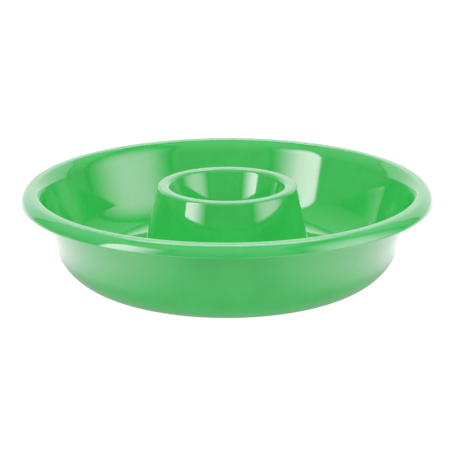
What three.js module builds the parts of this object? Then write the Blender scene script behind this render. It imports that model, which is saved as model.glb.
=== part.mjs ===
// Chip and dip bowl: a round moulded bowl with a wide rolled lip and a hollow collar in the middle,
// and a round dip cup that drops into the collar and lifts straight out again.
// Millimetres, +Z up. The origin is on the axis, in the plane that the bowl stands on.
import * as THREE from 'three';

// Driving dimensions
const rimRadius = 160;
const rimHeight = 72;
const wall = 2.6;
const clearance = 0.3;
const facets = 64;

// Lip: a skirt and a tighter brow outside a flat crest, then a rounded edge and a flare into the wall
const skirtRadius = 10;
const skirtLean = THREE.MathUtils.degToRad(12);
const browStart = THREE.MathUtils.degToRad(54);
const browRadius = 7;
const crestInnerRadius = 149.3;
const crestEdgeRadius = 3.5;
const flareStart = THREE.MathUtils.degToRad(132);
const flareRadius = 18;

// Bowl wall and floor
const wallDraft = THREE.MathUtils.degToRad(17);
const floorTop = 3.6;
const cornerRadius = 35.5;
const outerCornerRadius = 38;
const footHeight = 1;
const footWidth = 7;

// Collar: a tapered flank under a rounded shoulder, with a stepped seat for the cup
const collarHeight = 72.8;
const collarCrestRadius = 51.6;
const shoulderRadius = 2.7;
const collarDraft = THREE.MathUtils.degToRad(12.2);
const collarFillet = 5;
const seatRadius = 52.8;
const seatDepth = 3.1;
const seatHoleRadius = 47.2;

// Cup: a flat crest that rolls into a tapered wall
const cupWall = 2.5;
const cupFloorTop = 27.5;
const cupDraft = THREE.MathUtils.degToRad(15.5);
const cupCornerRadius = 14;
const cupCrestRadius = 47.8;
const cupRoll = 3.6;

const quarter = Math.PI / 2;
const point = (radius, height) => new THREE.Vector2(radius, height);

// The point at a distance from another in the half-plane of radius and height, at an angle from outward
const alongAngle = (from, distance, angle) => (
  point(from.x + distance * Math.cos(angle), from.y + distance * Math.sin(angle))
);

const arc = (centre, radius, start, end, steps) => (
  Array.from({ length: steps + 1 }, (_, i) => alongAngle(centre, radius, start + ((end - start) * i) / steps))
);

// Radius, at a given height, of a straight wall that leans outward by draft and passes through a point
const leaningRadius = (through, draft, height) => through.x + (height - through.y) * Math.tan(draft);

// A corner arc between a level floor and a wall that leans outward
function cornerCentre(through, draft, level, radius) {
  const height = level + radius;
  return point(leaningRadius(through, draft, height) - radius / Math.cos(draft), height);
}

// The lip's arcs touch each other, so each centre follows from its neighbour's
const skirtCentre = point(
  rimRadius - wall / 2 - (skirtRadius - wall / 2) * Math.cos(skirtLean),
  rimHeight - browRadius - (skirtRadius - browRadius) * Math.sin(browStart),
);
const lipEdgeCentre = alongAngle(skirtCentre, skirtRadius - wall / 2, skirtLean);
const browCentre = alongAngle(skirtCentre, skirtRadius - browRadius, browStart);
const crestEdgeCentre = point(crestInnerRadius, rimHeight - crestEdgeRadius);
const flareCentre = alongAngle(crestEdgeCentre, crestEdgeRadius - flareRadius, flareStart);

// The lip is a shell: its upper face has inset 0, and its underside has an inset of one wall
const outerLip = (inset, steps) => [
  ...arc(skirtCentre, skirtRadius - inset, skirtLean, browStart, steps),
  ...arc(browCentre, browRadius - inset, browStart, quarter, steps).slice(1),
];

const lipFlare = (inset, start) => (
  arc(flareCentre, flareRadius - inset, start, Math.PI - wallDraft, 3)
);

function lipTop() {
  const crestEdge = arc(crestEdgeCentre, crestEdgeRadius, quarter, flareStart, 3);
  return [...outerLip(0, 4), ...crestEdge, ...lipFlare(0, flareStart).slice(1)];
}

function lipUnderside() {
  const rise = rimHeight - wall - flareCentre.y;
  return [...outerLip(wall, 3), ...lipFlare(wall, Math.PI - Math.asin(rise / (flareRadius - wall)))];
}

// The collar is a shell too; its foot is a fillet, on the upper face or one wall below it
const shoulderCentre = point(collarCrestRadius, collarHeight - shoulderRadius);
const flankTop = alongAngle(shoulderCentre, shoulderRadius, collarDraft);

function collarFoot(inset) {
  const height = floorTop + collarFillet;
  const radius = leaningRadius(flankTop, -collarDraft, height) + collarFillet / Math.cos(collarDraft);
  return arc(point(radius, height), collarFillet + inset, -quarter, collarDraft - Math.PI, 3);
}

function bowlOutline() {
  const upper = lipTop();
  const under = lipUnderside();
  const innerCorner = cornerCentre(upper.at(-1), wallDraft, floorTop, cornerRadius);
  const outerCorner = cornerCentre(under.at(-1), wallDraft, 0, outerCornerRadius);
  const footInner = outerCorner.x - footWidth;

  const seatEdge = Math.acos((seatRadius - collarCrestRadius) / shoulderRadius);
  const seatLevel = collarHeight - seatDepth;
  const ledgeUnderside = seatLevel - wall;
  const hollow = collarFoot(wall).reverse();

  return [
    ...upper,
    ...arc(innerCorner, cornerRadius, -wallDraft, -quarter, 7),
    ...collarFoot(0),
    ...arc(shoulderCentre, shoulderRadius, collarDraft, seatEdge, 4),
    point(seatRadius, seatLevel),
    point(seatHoleRadius, seatLevel),
    point(seatHoleRadius, ledgeUnderside),
    point(leaningRadius(hollow[0], -collarDraft, ledgeUnderside), ledgeUnderside),
    ...hollow,
    point(footInner - footHeight, footHeight),
    point(footInner, 0),
    ...arc(outerCorner, outerCornerRadius, -quarter, -wallDraft, 7),
    ...under.reverse(),
    ...arc(lipEdgeCentre, wall / 2, skirtLean - Math.PI, skirtLean, 4).slice(1, -1),
  ];
}

function cupOutline() {
  const rollCentre = point(cupCrestRadius, collarHeight - cupRoll);
  const roll = arc(rollCentre, cupRoll, quarter, Math.PI - cupDraft, 5);
  const innerWall = roll.at(-1);
  const outerWall = point(innerWall.x + cupWall / Math.cos(cupDraft), innerWall.y);
  const corner = cornerCentre(innerWall, cupDraft, cupFloorTop, cupCornerRadius);
  const flangeRadius = seatRadius - clearance;
  const flangeLevel = collarHeight - seatDepth + clearance;
  const flangeEdge = Math.acos((flangeRadius - collarCrestRadius) / shoulderRadius);

  return [
    point(0, cupFloorTop - cupWall),
    ...arc(corner, cupCornerRadius + cupWall, -quarter, -cupDraft, 5),
    point(leaningRadius(outerWall, cupDraft, flangeLevel), flangeLevel),
    point(flangeRadius, flangeLevel),
    ...arc(shoulderCentre, shoulderRadius, flangeEdge, quarter, 2),
    ...roll,
    ...arc(corner, cupCornerRadius, -cupDraft, -quarter, 5),
    point(0, cupFloorTop),
  ];
}

// Turns an outline about the vertical axis
function turned(name, outline, material) {
  const geometry = new THREE.LatheGeometry(outline, facets);
  geometry.rotateX(quarter);
  const mesh = new THREE.Mesh(geometry, material);
  mesh.name = name;
  return mesh;
}

const glossGreen = new THREE.MeshStandardMaterial({ color: 0x45b75b, roughness: 0.12, metalness: 0 });

const bowl = bowlOutline();
bowl.push(bowl[0].clone());

const model = new THREE.Group();
model.add(turned('chip_bowl', bowl, glossGreen));
model.add(turned('dip_cup', cupOutline(), glossGreen.clone()));

export default model;
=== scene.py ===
"""Chip and dip bowl: a glossy green moulded bowl and its lift-out dip cup, in a small white studio."""

import math

import bmesh
import bpy
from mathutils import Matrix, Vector


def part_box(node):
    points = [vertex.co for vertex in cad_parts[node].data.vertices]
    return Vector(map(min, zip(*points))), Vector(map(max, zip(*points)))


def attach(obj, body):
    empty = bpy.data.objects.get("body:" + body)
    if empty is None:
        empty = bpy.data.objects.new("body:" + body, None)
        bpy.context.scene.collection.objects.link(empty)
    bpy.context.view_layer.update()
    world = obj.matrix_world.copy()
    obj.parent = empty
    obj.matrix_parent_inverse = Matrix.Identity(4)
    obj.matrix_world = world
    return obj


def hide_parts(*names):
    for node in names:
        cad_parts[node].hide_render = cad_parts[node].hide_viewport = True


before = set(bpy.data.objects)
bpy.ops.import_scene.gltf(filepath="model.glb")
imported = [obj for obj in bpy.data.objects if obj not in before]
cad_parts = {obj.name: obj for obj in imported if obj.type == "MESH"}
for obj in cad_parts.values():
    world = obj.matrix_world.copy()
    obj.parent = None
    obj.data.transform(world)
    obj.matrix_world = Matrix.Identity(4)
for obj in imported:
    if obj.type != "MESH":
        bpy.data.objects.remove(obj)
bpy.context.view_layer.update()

MM = 0.001
QUARTER = math.pi / 2

# Sizes taken from the frame, in millimetres
_, BOWL_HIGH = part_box("chip_bowl")
CUP_LOW, CUP_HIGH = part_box("dip_cup")
RIM_RADIUS = BOWL_HIGH.x / MM
COLLAR_HEIGHT = CUP_HIGH.z / MM
CUP_UNDERSIDE = CUP_LOW.z / MM
FLANGE_RADIUS = CUP_HIGH.x / MM

# The rest of the design, in millimetres, as the solids have it
COLLAR_ABOVE_RIM = 0.8
RIM_HEIGHT = COLLAR_HEIGHT - COLLAR_ABOVE_RIM
WALL = 2.6
CUP_GAP = 0.3
SEAM = 0.06
SKIRT_RADIUS = 10.0
SKIRT_LEAN = math.radians(12)
BROW_START = math.radians(54)
BROW_RADIUS = 7.0
CREST_INNER_RADIUS = 149.3
CREST_EDGE_RADIUS = 3.5
FLARE_START = math.radians(132)
FLARE_RADIUS = 18.0
WALL_DRAFT = math.radians(17)
FLOOR_TOP = 3.6
CORNER_RADIUS = 35.5
OUTER_CORNER_RADIUS = 38.0
FOOT_HEIGHT = 1.0
FOOT_WIDTH = 7.0
COLLAR_CREST_RADIUS = 51.6
SHOULDER_RADIUS = 2.7
COLLAR_DRAFT = math.radians(12.2)
COLLAR_FILLET = 5.0
SEAT_RADIUS = FLANGE_RADIUS + CUP_GAP
SEAT_DEPTH = 3.1
SEAT_HOLE_RADIUS = 47.2
CUP_WALL = 2.5
CUP_DRAFT = math.radians(15.5)
CUP_CORNER_RADIUS = 14.0
CUP_CREST_RADIUS = 47.8
CUP_ROLL = 3.6
EDGE_RADIUS = 0.2
SEAM_EDGE_RADIUS = 0.05

# Facets: round a turned piece, and the greatest step of an arc of 1 mm radius, in radians
SEGMENTS = 256
ARC_STEP = 0.22

# Linear colours of the plastic
DEEP_GREEN = (0.050, 0.590, 0.116, 1)
LIGHT_GREEN = (0.060, 0.650, 0.134, 1)
SCUFFED_GREEN = (0.22, 0.68, 0.28, 1)

# The plastic's surface: noise scales per metre, lengths in metres
GLOSS_ROUGHNESS = 0.06
CLOUD_SCALE = 34.0
MOTTLE_SCALE = 320.0
SMEAR_SCALE = 18.0
SCRATCH_SCALE = 110.0
SCRATCH_STRETCH = 14.0
SCRATCH_ANGLES = (0.0, 1.1)
SCRATCH_DEPTH = 0.000003
RIPPLE_SCALE = 60.0
RIPPLE_HEIGHT = 0.00001
RING_PITCH = 0.0009
RING_HEIGHT = 0.000004
BOWL_WORN_RADIUS = 0.153
CUP_WORN_RADIUS = 0.0515

# Studio, in metres
FLOOR_HALF = 4.0
GLOW_HALF = 3.0
GLOW_HEIGHT = 0.0005
CAMERA_LENS = 132.85
CAMERA_DISTANCE = 1.3
CAMERA_PITCH = math.radians(16.9)
CAMERA_ROLL = -0.0021
CAMERA_TARGET = (-0.00157, 0, 0.03955)
WHITE = (1, 1, 1, 1)


# Outlines: lists of (radius, height) in millimetres, counter-clockwise round the section

def along(start, distance, angle):
    return start[0] + distance * math.cos(angle), start[1] + distance * math.sin(angle)


def arc(centre, radius, start, end):
    steps = max(3, math.ceil(abs(end - start) * math.sqrt(radius) / ARC_STEP))
    return [along(centre, radius, start + (end - start) * i / steps) for i in range(steps + 1)]


def leaning_radius(through, draft, height):
    return through[0] + (height - through[1]) * math.tan(draft)


def corner_centre(through, draft, level, radius):
    """The centre of a corner arc between a level floor and a wall that leans outward."""
    height = level + radius
    return leaning_radius(through, draft, height) - radius / math.cos(draft), height


def eased(before, corner, after, radius=EDGE_RADIUS):
    """A corner between two straight runs, rounded to a small radius."""
    before, corner, after = (Vector(p) for p in (before, corner, after))
    towards, onward = (before - corner).normalized(), (after - corner).normalized()
    half = towards.angle(onward) / 2
    reach = radius / math.tan(half)
    centre = corner + (towards + onward).normalized() * (radius / math.sin(half))
    first, last = ((corner + way * reach - centre).normalized() for way in (towards, onward))
    return [tuple(centre + first.slerp(last, i / 4) * radius) for i in range(5)]


SKIRT = (
    RIM_RADIUS - WALL / 2 - (SKIRT_RADIUS - WALL / 2) * math.cos(SKIRT_LEAN),
    RIM_HEIGHT - BROW_RADIUS - (SKIRT_RADIUS - BROW_RADIUS) * math.sin(BROW_START),
)
LIP_EDGE = along(SKIRT, SKIRT_RADIUS - WALL / 2, SKIRT_LEAN)
BROW = along(SKIRT, SKIRT_RADIUS - BROW_RADIUS, BROW_START)
CREST_EDGE = (CREST_INNER_RADIUS, RIM_HEIGHT - CREST_EDGE_RADIUS)
FLARE = along(CREST_EDGE, CREST_EDGE_RADIUS - FLARE_RADIUS, FLARE_START)
SHOULDER = (COLLAR_CREST_RADIUS, COLLAR_HEIGHT - SHOULDER_RADIUS)


def outer_lip(inset):
    skirt = arc(SKIRT, SKIRT_RADIUS - inset, SKIRT_LEAN, BROW_START)
    return skirt + arc(BROW, BROW_RADIUS - inset, BROW_START, QUARTER)[1:]


def lip_flare(inset, start):
    return arc(FLARE, FLARE_RADIUS - inset, start, math.pi - WALL_DRAFT)


def lip_top():
    crest_edge = arc(CREST_EDGE, CREST_EDGE_RADIUS, QUARTER, FLARE_START)
    return outer_lip(0) + crest_edge + lip_flare(0, FLARE_START)[1:]


def lip_underside():
    rise = RIM_HEIGHT - WALL - FLARE[1]
    return outer_lip(WALL) + lip_flare(WALL, math.pi - math.asin(rise / (FLARE_RADIUS - WALL)))


def collar_foot(inset):
    height = FLOOR_TOP + COLLAR_FILLET
    flank_top = along(SHOULDER, SHOULDER_RADIUS, COLLAR_DRAFT)
    radius = leaning_radius(flank_top, -COLLAR_DRAFT, height) + COLLAR_FILLET / math.cos(COLLAR_DRAFT)
    return arc((radius, height), COLLAR_FILLET + inset, -QUARTER, COLLAR_DRAFT - math.pi)


def shoulder_edge(radius):
    """The angle at which the shoulder reaches a radius."""
    return math.acos((radius - COLLAR_CREST_RADIUS) / SHOULDER_RADIUS)


def bowl_outline():
    upper, under = lip_top(), lip_underside()
    inner_corner = corner_centre(upper[-1], WALL_DRAFT, FLOOR_TOP, CORNER_RADIUS)
    outer_corner = corner_centre(under[-1], WALL_DRAFT, 0, OUTER_CORNER_RADIUS)
    foot_inner = outer_corner[0] - FOOT_WIDTH
    seat = COLLAR_HEIGHT - SEAT_DEPTH
    ledge = seat - WALL
    hollow = collar_foot(WALL)[::-1]
    hollow_top = (leaning_radius(hollow[0], -COLLAR_DRAFT, ledge), ledge)
    shoulder = arc(SHOULDER, SHOULDER_RADIUS, COLLAR_DRAFT, shoulder_edge(SEAT_RADIUS))
    seat_outer, seat_inner = (SEAT_RADIUS, seat), (SEAT_HOLE_RADIUS, seat)
    seat_under = (SEAT_HOLE_RADIUS, ledge)
    foot_step, foot_edge = (foot_inner - FOOT_HEIGHT, FOOT_HEIGHT), (foot_inner, 0)
    outer_wall = arc(outer_corner, OUTER_CORNER_RADIUS, -QUARTER, -WALL_DRAFT)

    return [
        *upper,
        *arc(inner_corner, CORNER_RADIUS, -WALL_DRAFT, -QUARTER),
        *collar_foot(0),
        *shoulder[:-1],
        *eased(shoulder[-2], shoulder[-1], seat_outer, SEAM_EDGE_RADIUS),
        *eased(shoulder[-1], seat_outer, seat_inner),
        *eased(seat_outer, seat_inner, seat_under),
        *eased(seat_inner, seat_under, hollow_top),
        *eased(seat_under, hollow_top, hollow[0]),
        *hollow,
        *eased(hollow[-1], foot_step, foot_edge),
        *eased(foot_step, foot_edge, outer_wall[0]),
        *outer_wall,
        *reversed(under),
        *arc(LIP_EDGE, WALL / 2, SKIRT_LEAN - math.pi, SKIRT_LEAN)[1:-1],
    ]


def cup_outline():
    roll = arc((CUP_CREST_RADIUS, COLLAR_HEIGHT - CUP_ROLL), CUP_ROLL, QUARTER, math.pi - CUP_DRAFT)
    inner_wall = roll[-1]
    outer_wall = (inner_wall[0] + CUP_WALL / math.cos(CUP_DRAFT), inner_wall[1])
    floor_top = CUP_UNDERSIDE + CUP_WALL
    corner = corner_centre(inner_wall, CUP_DRAFT, floor_top, CUP_CORNER_RADIUS)
    outside = arc(corner, CUP_CORNER_RADIUS + CUP_WALL, -QUARTER, -CUP_DRAFT)
    flange = COLLAR_HEIGHT - SEAT_DEPTH + CUP_GAP
    flange_inner = (leaning_radius(outer_wall, CUP_DRAFT, flange), flange)
    flange_outer = (SEAT_RADIUS - SEAM, flange)
    shoulder = arc(SHOULDER, SHOULDER_RADIUS, shoulder_edge(flange_outer[0]), QUARTER)

    return [
        (0, CUP_UNDERSIDE),
        *outside,
        flange_inner,
        *eased(flange_inner, flange_outer, shoulder[0]),
        *eased(flange_outer, shoulder[0], shoulder[1], SEAM_EDGE_RADIUS),
        *shoulder[1:],
        *roll,
        *arc(corner, CUP_CORNER_RADIUS, -CUP_DRAFT, -QUARTER),
        (0, floor_top),
    ]


def on_axis(radius):
    return radius < 1e-6


def turned(name, outline, body, node, material):
    """A piece made by turning an outline about Z; points on the axis become poles."""
    mesh = bmesh.new()
    spokes = [(math.cos(a), math.sin(a)) for a in (2 * math.pi * i / SEGMENTS for i in range(SEGMENTS))]
    rings = []
    for radius, height in outline:
        r, z = radius * MM, height * MM
        if on_axis(radius):
            rings.append([mesh.verts.new((0, 0, z))] * SEGMENTS)
        else:
            rings.append([mesh.verts.new((r * x, r * y, z)) for x, y in spokes])
    closed = not on_axis(outline[0][0])
    pairs = zip(rings, rings[1:] + rings[:1]) if closed else zip(rings, rings[1:])
    for lower, upper in pairs:
        for i in range(SEGMENTS):
            j = (i + 1) % SEGMENTS
            corners = dict.fromkeys((lower[i], lower[j], upper[j], upper[i]))
            mesh.faces.new(corners).smooth = True
    data = bpy.data.meshes.new(name)
    mesh.to_mesh(data)
    mesh.free()
    piece = bpy.data.objects.new(name, data)
    bpy.context.scene.collection.objects.link(piece)
    data.materials.append(material)
    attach(piece, body)
    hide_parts(node)
    return piece


# Node helpers

def new_material(name):
    material = bpy.data.materials.new(name)
    material.use_nodes = True
    return material, material.node_tree


def node(tree, kind, inputs=None, **settings):
    """A node with its settings and its inputs: numbers, colours or other nodes' sockets."""
    made = tree.nodes.new("ShaderNode" + kind)
    for key, value in settings.items():
        setattr(made, key, value)
    for key, value in (inputs or {}).items():
        if isinstance(value, bpy.types.NodeSocket):
            tree.links.new(value, made.inputs[key])
        else:
            made.inputs[key].default_value = value
    return made


def maths(tree, operation, *values):
    return node(tree, "Math", dict(enumerate(values)), operation=operation).outputs[0]


def ramp(tree, value, low, high, start=0.0, end=1.0):
    """A smooth step of value from low to high; it falls if high is the smaller."""
    steps = {"Value": value, "From Min": low, "From Max": high, "To Min": start, "To Max": end}
    return node(tree, "MapRange", steps, interpolation_type="SMOOTHSTEP").outputs[0]


def noise(tree, place, scale, detail=2.0, roughness=0.5):
    inputs = {"Vector": place, "Scale": scale, "Detail": detail, "Roughness": roughness}
    return node(tree, "TexNoise", inputs).outputs["Fac"]


def product(tree, *values):
    first, *rest = values
    for value in rest:
        first = maths(tree, "MULTIPLY", first, value)
    return first


def total(tree, *values):
    first, *rest = values
    for value in rest:
        first = maths(tree, "ADD", first, value)
    return first


def pigment(tree, place, mottle):
    """The green: broad clouding with the fine mottle in it."""
    clouds = noise(tree, place, CLOUD_SCALE)
    share = total(tree, product(tree, clouds, 0.7), product(tree, mottle, 0.3))
    inputs = {0: ramp(tree, share, 0.3, 0.7), 1: DEEP_GREEN, 2: LIGHT_GREEN}
    return node(tree, "MixRGB", inputs).outputs[0]


def scratches(tree, place, facing):
    """Fine scratches in two directions, only on the level faces."""
    strokes = []
    for angle in SCRATCH_ANGLES:
        inputs = {"Vector": place, "Rotation": (0, 0, angle), "Scale": (1.0, SCRATCH_STRETCH, 1.0)}
        way = node(tree, "Mapping", inputs).outputs[0]
        strokes.append(ramp(tree, noise(tree, way, SCRATCH_SCALE, 2.0, 0.4), 0.7, 0.76))
    level = ramp(tree, facing, 0.9, 0.99)
    return product(tree, maths(tree, "MAXIMUM", *strokes), level)


def scuffs(tree, height, radius, mottle, bottom, worn_height, worn_radius):
    """Rubbing where the piece stands and along the top of its worn edge."""
    standing = ramp(tree, height, bottom + 0.0012, bottom)
    edge_up = ramp(tree, height, worn_height - 0.0018, worn_height)
    off_edge = maths(tree, "ABSOLUTE", maths(tree, "SUBTRACT", radius, worn_radius))
    edge = product(tree, edge_up, ramp(tree, off_edge, 0.003, 0.0))
    return product(tree, maths(tree, "MAXIMUM", standing, edge), ramp(tree, mottle, 0.4, 0.65))


def relief(tree, place, radius, underneath, scratched):
    """The slow ripple of a cooled moulding, tool rings underneath, and the scratches."""
    ripple = product(tree, noise(tree, place, RIPPLE_SCALE, 1.0), RIPPLE_HEIGHT)
    rings = maths(tree, "SINE", product(tree, radius, 2 * math.pi / RING_PITCH))
    rings = product(tree, rings, underneath, RING_HEIGHT)
    heights = maths(tree, "SUBTRACT", total(tree, ripple, rings), product(tree, scratched, SCRATCH_DEPTH))
    return node(tree, "Bump", {"Strength": 1.0, "Distance": 1.0, "Height": heights}).outputs[0]


def gloss_plastic(name, bottom, worn_height, worn_radius):
    """Glossy moulded plastic, scuffed where it stands and at its worn edge; satin underneath."""
    material, tree = new_material(name)
    place = node(tree, "TexCoord").outputs["Object"]
    x, y, z = node(tree, "SeparateXYZ", {0: place}).outputs
    flat = node(tree, "CombineXYZ", {"X": x, "Y": y}).outputs[0]
    radius = node(tree, "VectorMath", {0: flat}, operation="LENGTH").outputs["Value"]
    facing = node(tree, "SeparateXYZ", {0: node(tree, "NewGeometry").outputs["True Normal"]}).outputs[2]

    mottle = noise(tree, place, MOTTLE_SCALE, 3.0, 0.6)
    smears = ramp(tree, noise(tree, place, SMEAR_SCALE, 4.0, 0.6), 0.42, 0.72)
    scratched = scratches(tree, place, facing)
    rubbed = scuffs(tree, z, radius, mottle, bottom, worn_height, worn_radius)
    underneath = ramp(tree, facing, -0.75, -0.95)

    wear = ((smears, 0.035), (scratched, 0.12), (rubbed, 0.22), (underneath, 0.25))
    roughness = total(tree, GLOSS_ROUGHNESS, *(product(tree, mask, much) for mask, much in wear))
    pale = product(tree, maths(tree, "MAXIMUM", rubbed, product(tree, scratched, 0.3)), 0.12)
    colours = {0: pale, 1: pigment(tree, place, mottle), 2: SCUFFED_GREEN}
    colour = node(tree, "MixRGB", colours).outputs[0]
    normal = relief(tree, place, radius, underneath, scratched)

    shader = tree.nodes["Principled BSDF"]
    for key, value in (("Base Color", colour), ("Roughness", roughness), ("Normal", normal)):
        tree.links.new(value, shader.inputs[key])
    shader.inputs["IOR"].default_value = 1.5
    return material


bowl_green = gloss_plastic("bowl green", 0.0, RIM_HEIGHT * MM, BOWL_WORN_RADIUS)
cup_green = gloss_plastic("cup green", CUP_UNDERSIDE * MM, COLLAR_HEIGHT * MM, CUP_WORN_RADIUS)
turned("bowl_moulding", bowl_outline(), "bowl", "chip_bowl", bowl_green)
turned("cup_moulding", cup_outline(), "cup", "dip_cup", cup_green)


# Studio: an even white surround lights the piece, and soft glowing cards show only in its gloss

def stage_mesh(name, corners, material):
    mesh = bpy.data.meshes.new(name)
    mesh.from_pydata(corners, [], [tuple(range(len(corners)))])
    mesh.materials.append(material)
    obj = bpy.data.objects.new(name, mesh)
    bpy.context.scene.collection.objects.link(obj)
    return obj


def level_square(half, height):
    return [(-half, -half, height), (half, -half, height), (half, half, height), (-half, half, height)]


def gloss_only(obj):
    obj.visible_camera = obj.visible_diffuse = obj.visible_shadow = False
    obj.visible_transmission = obj.visible_volume_scatter = False


def floor():
    material, tree = new_material("white table")
    tree.nodes.clear()
    paper = node(tree, "BsdfDiffuse", {"Color": (0.3, 0.3, 0.3, 1)})
    glow = node(tree, "Emission", {"Color": WHITE, "Strength": 1.5})
    both = node(tree, "AddShader", {0: paper.outputs[0], 1: glow.outputs[0]})
    node(tree, "OutputMaterial", {"Surface": both.outputs[0]})
    table = stage_mesh("floor", level_square(FLOOR_HALF, 0), material)
    table.visible_diffuse = table.visible_glossy = False


def table_glow():
    """The table as the gloss sees it, as a painted reflection: bright to the sides with painted light, and
    dim in front of the bowl and close to it with the bowl's painted shadow.
    """
    material, tree = new_material("table glow")
    tree.nodes.clear()
    place = node(tree, "TexCoord").outputs["Object"]
    distance = node(tree, "VectorMath", {0: place}, operation="LENGTH").outputs["Value"]
    sideways = maths(tree, "ABSOLUTE", node(tree, "SeparateXYZ", {0: place}).outputs["X"])
    # painted light: the table's reflection brighter to the sides, away from the bowl
    painted_side_light = product(tree, ramp(tree, sideways, 0.03, 0.13, 0.1, 1.9), ramp(tree, distance, 0.13, 0.17))
    # painted shadow: the table's reflection dimmer close to the bowl, where the bowl's shadow falls
    painted_bowl_shadow = ramp(tree, distance, 0.09, 0.18, 0.35, 1.05)
    glow = node(tree, "Emission", {"Color": WHITE, "Strength": total(tree, painted_bowl_shadow, painted_side_light)})
    node(tree, "OutputMaterial", {"Surface": glow.outputs[0]})
    gloss_only(stage_mesh("table_glow", level_square(GLOW_HALF, GLOW_HEIGHT), material))


def glow_card(name, corners, strength, across, up):
    """A card that fades in and out along its two sides; each fade is (begin, full, full, end)."""
    material, tree = new_material(name)
    tree.nodes.clear()
    place = node(tree, "TexCoord").outputs["UV"]
    sides = node(tree, "SeparateXYZ", {0: place}).outputs
    amount = strength
    for side, (begin, full, fade, end) in zip(sides, (across, up)):
        if full > begin:
            amount = product(tree, amount, ramp(tree, side, begin, full))
        if end > fade:
            amount = product(tree, amount, ramp(tree, side, end, fade))
    glow = node(tree, "Emission", {"Color": WHITE, "Strength": amount})
    node(tree, "OutputMaterial", {"Surface": glow.outputs[0]})
    card = stage_mesh(name, corners, material)
    layer = card.data.uv_layers.new(name="UVMap")
    for loop, uv in zip(layer.data, ((0, 0), (1, 0), (1, 1), (0, 1))):
        loop.uv = uv
    gloss_only(card)


def upright(azimuth, distance, left, right, top):
    """Corners of an upright card; azimuth, in degrees, runs from behind the bowl towards the right."""
    a = math.radians(azimuth)
    out = Vector((math.sin(a), math.cos(a), 0)) * distance
    side = Vector((math.cos(a), -math.sin(a), 0))
    places = ((left, 0.01), (right, 0.01), (right, top), (left, top))
    return [out + side * across + Vector((0, 0, height)) for across, height in places]


def camera():
    data = bpy.data.cameras.new("camera")
    data.lens = CAMERA_LENS
    data.sensor_width = 36
    data.clip_end = 20
    obj = bpy.data.objects.new("camera", data)
    back = Vector((0, -math.cos(CAMERA_PITCH), math.sin(CAMERA_PITCH)))
    obj.location = Vector(CAMERA_TARGET) + back * CAMERA_DISTANCE
    obj.rotation_euler = (QUARTER - CAMERA_PITCH, 0, 0)
    obj.rotation_euler.rotate_axis("Z", CAMERA_ROLL)
    bpy.context.scene.collection.objects.link(obj)
    bpy.context.scene.camera = obj


def surround():
    world = bpy.data.worlds.new("studio")
    world.use_nodes = True
    tree = world.node_tree
    height = node(tree, "SeparateXYZ", {0: node(tree, "TexCoord").outputs["Generated"]}).outputs[2]
    backdrop = tree.nodes["Background"]
    backdrop.inputs["Color"].default_value = WHITE
    above = ramp(tree, height, 0.0, 1.0, 0.45, 1.3)
    below = ramp(tree, height, 0.0, -0.05, 0.0, 0.33)
    tree.links.new(total(tree, above, below), backdrop.inputs["Strength"])
    bpy.context.scene.world = world


def tone():
    """Standard colour with a soft shoulder: tones above the middle are pressed together."""
    view = bpy.context.scene.view_settings
    view.view_transform = "Standard"
    view.use_curve_mapping = True
    curves = view.curve_mapping
    white = 1.45
    curves.white_level = (white, white, white)
    combined = curves.curves[3]
    for tone_in, tone_out in ((0.25, 0.25), (0.5, 0.5), (1.0, 0.775)):
        combined.points.new(tone_in / white, tone_out)
    for point in combined.points:
        point.handle_type = "VECTOR"
    curves.update()


floor()
table_glow()
glow_card("card_left", upright(-127, 2.0, -0.85, 0.58, 2.4), 16, (0, 0.82, 0.9, 1), (0, 0, 0.5, 1))
glow_card("card_right", upright(96, 2.0, -0.9, 2.07, 4.2), 7, (0, 0.44, 0.56, 1), (0, 0, 0.04, 0.85))
overhead = [(-1.1, -0.1, 2), (1.1, -0.1, 2), (1.1, 1.9, 2), (-1.1, 1.9, 2)]
glow_card("card_above", overhead, 7, (0, 0.3, 0.7, 1), (0, 0.6, 0.9, 1))
glow_card("card_behind", upright(0, 2.6, -4.0, 4.0, 2.8), 1.8, (0, 0.1, 0.9, 1), (0, 0, 0.9, 1))
camera()
surround()
tone()
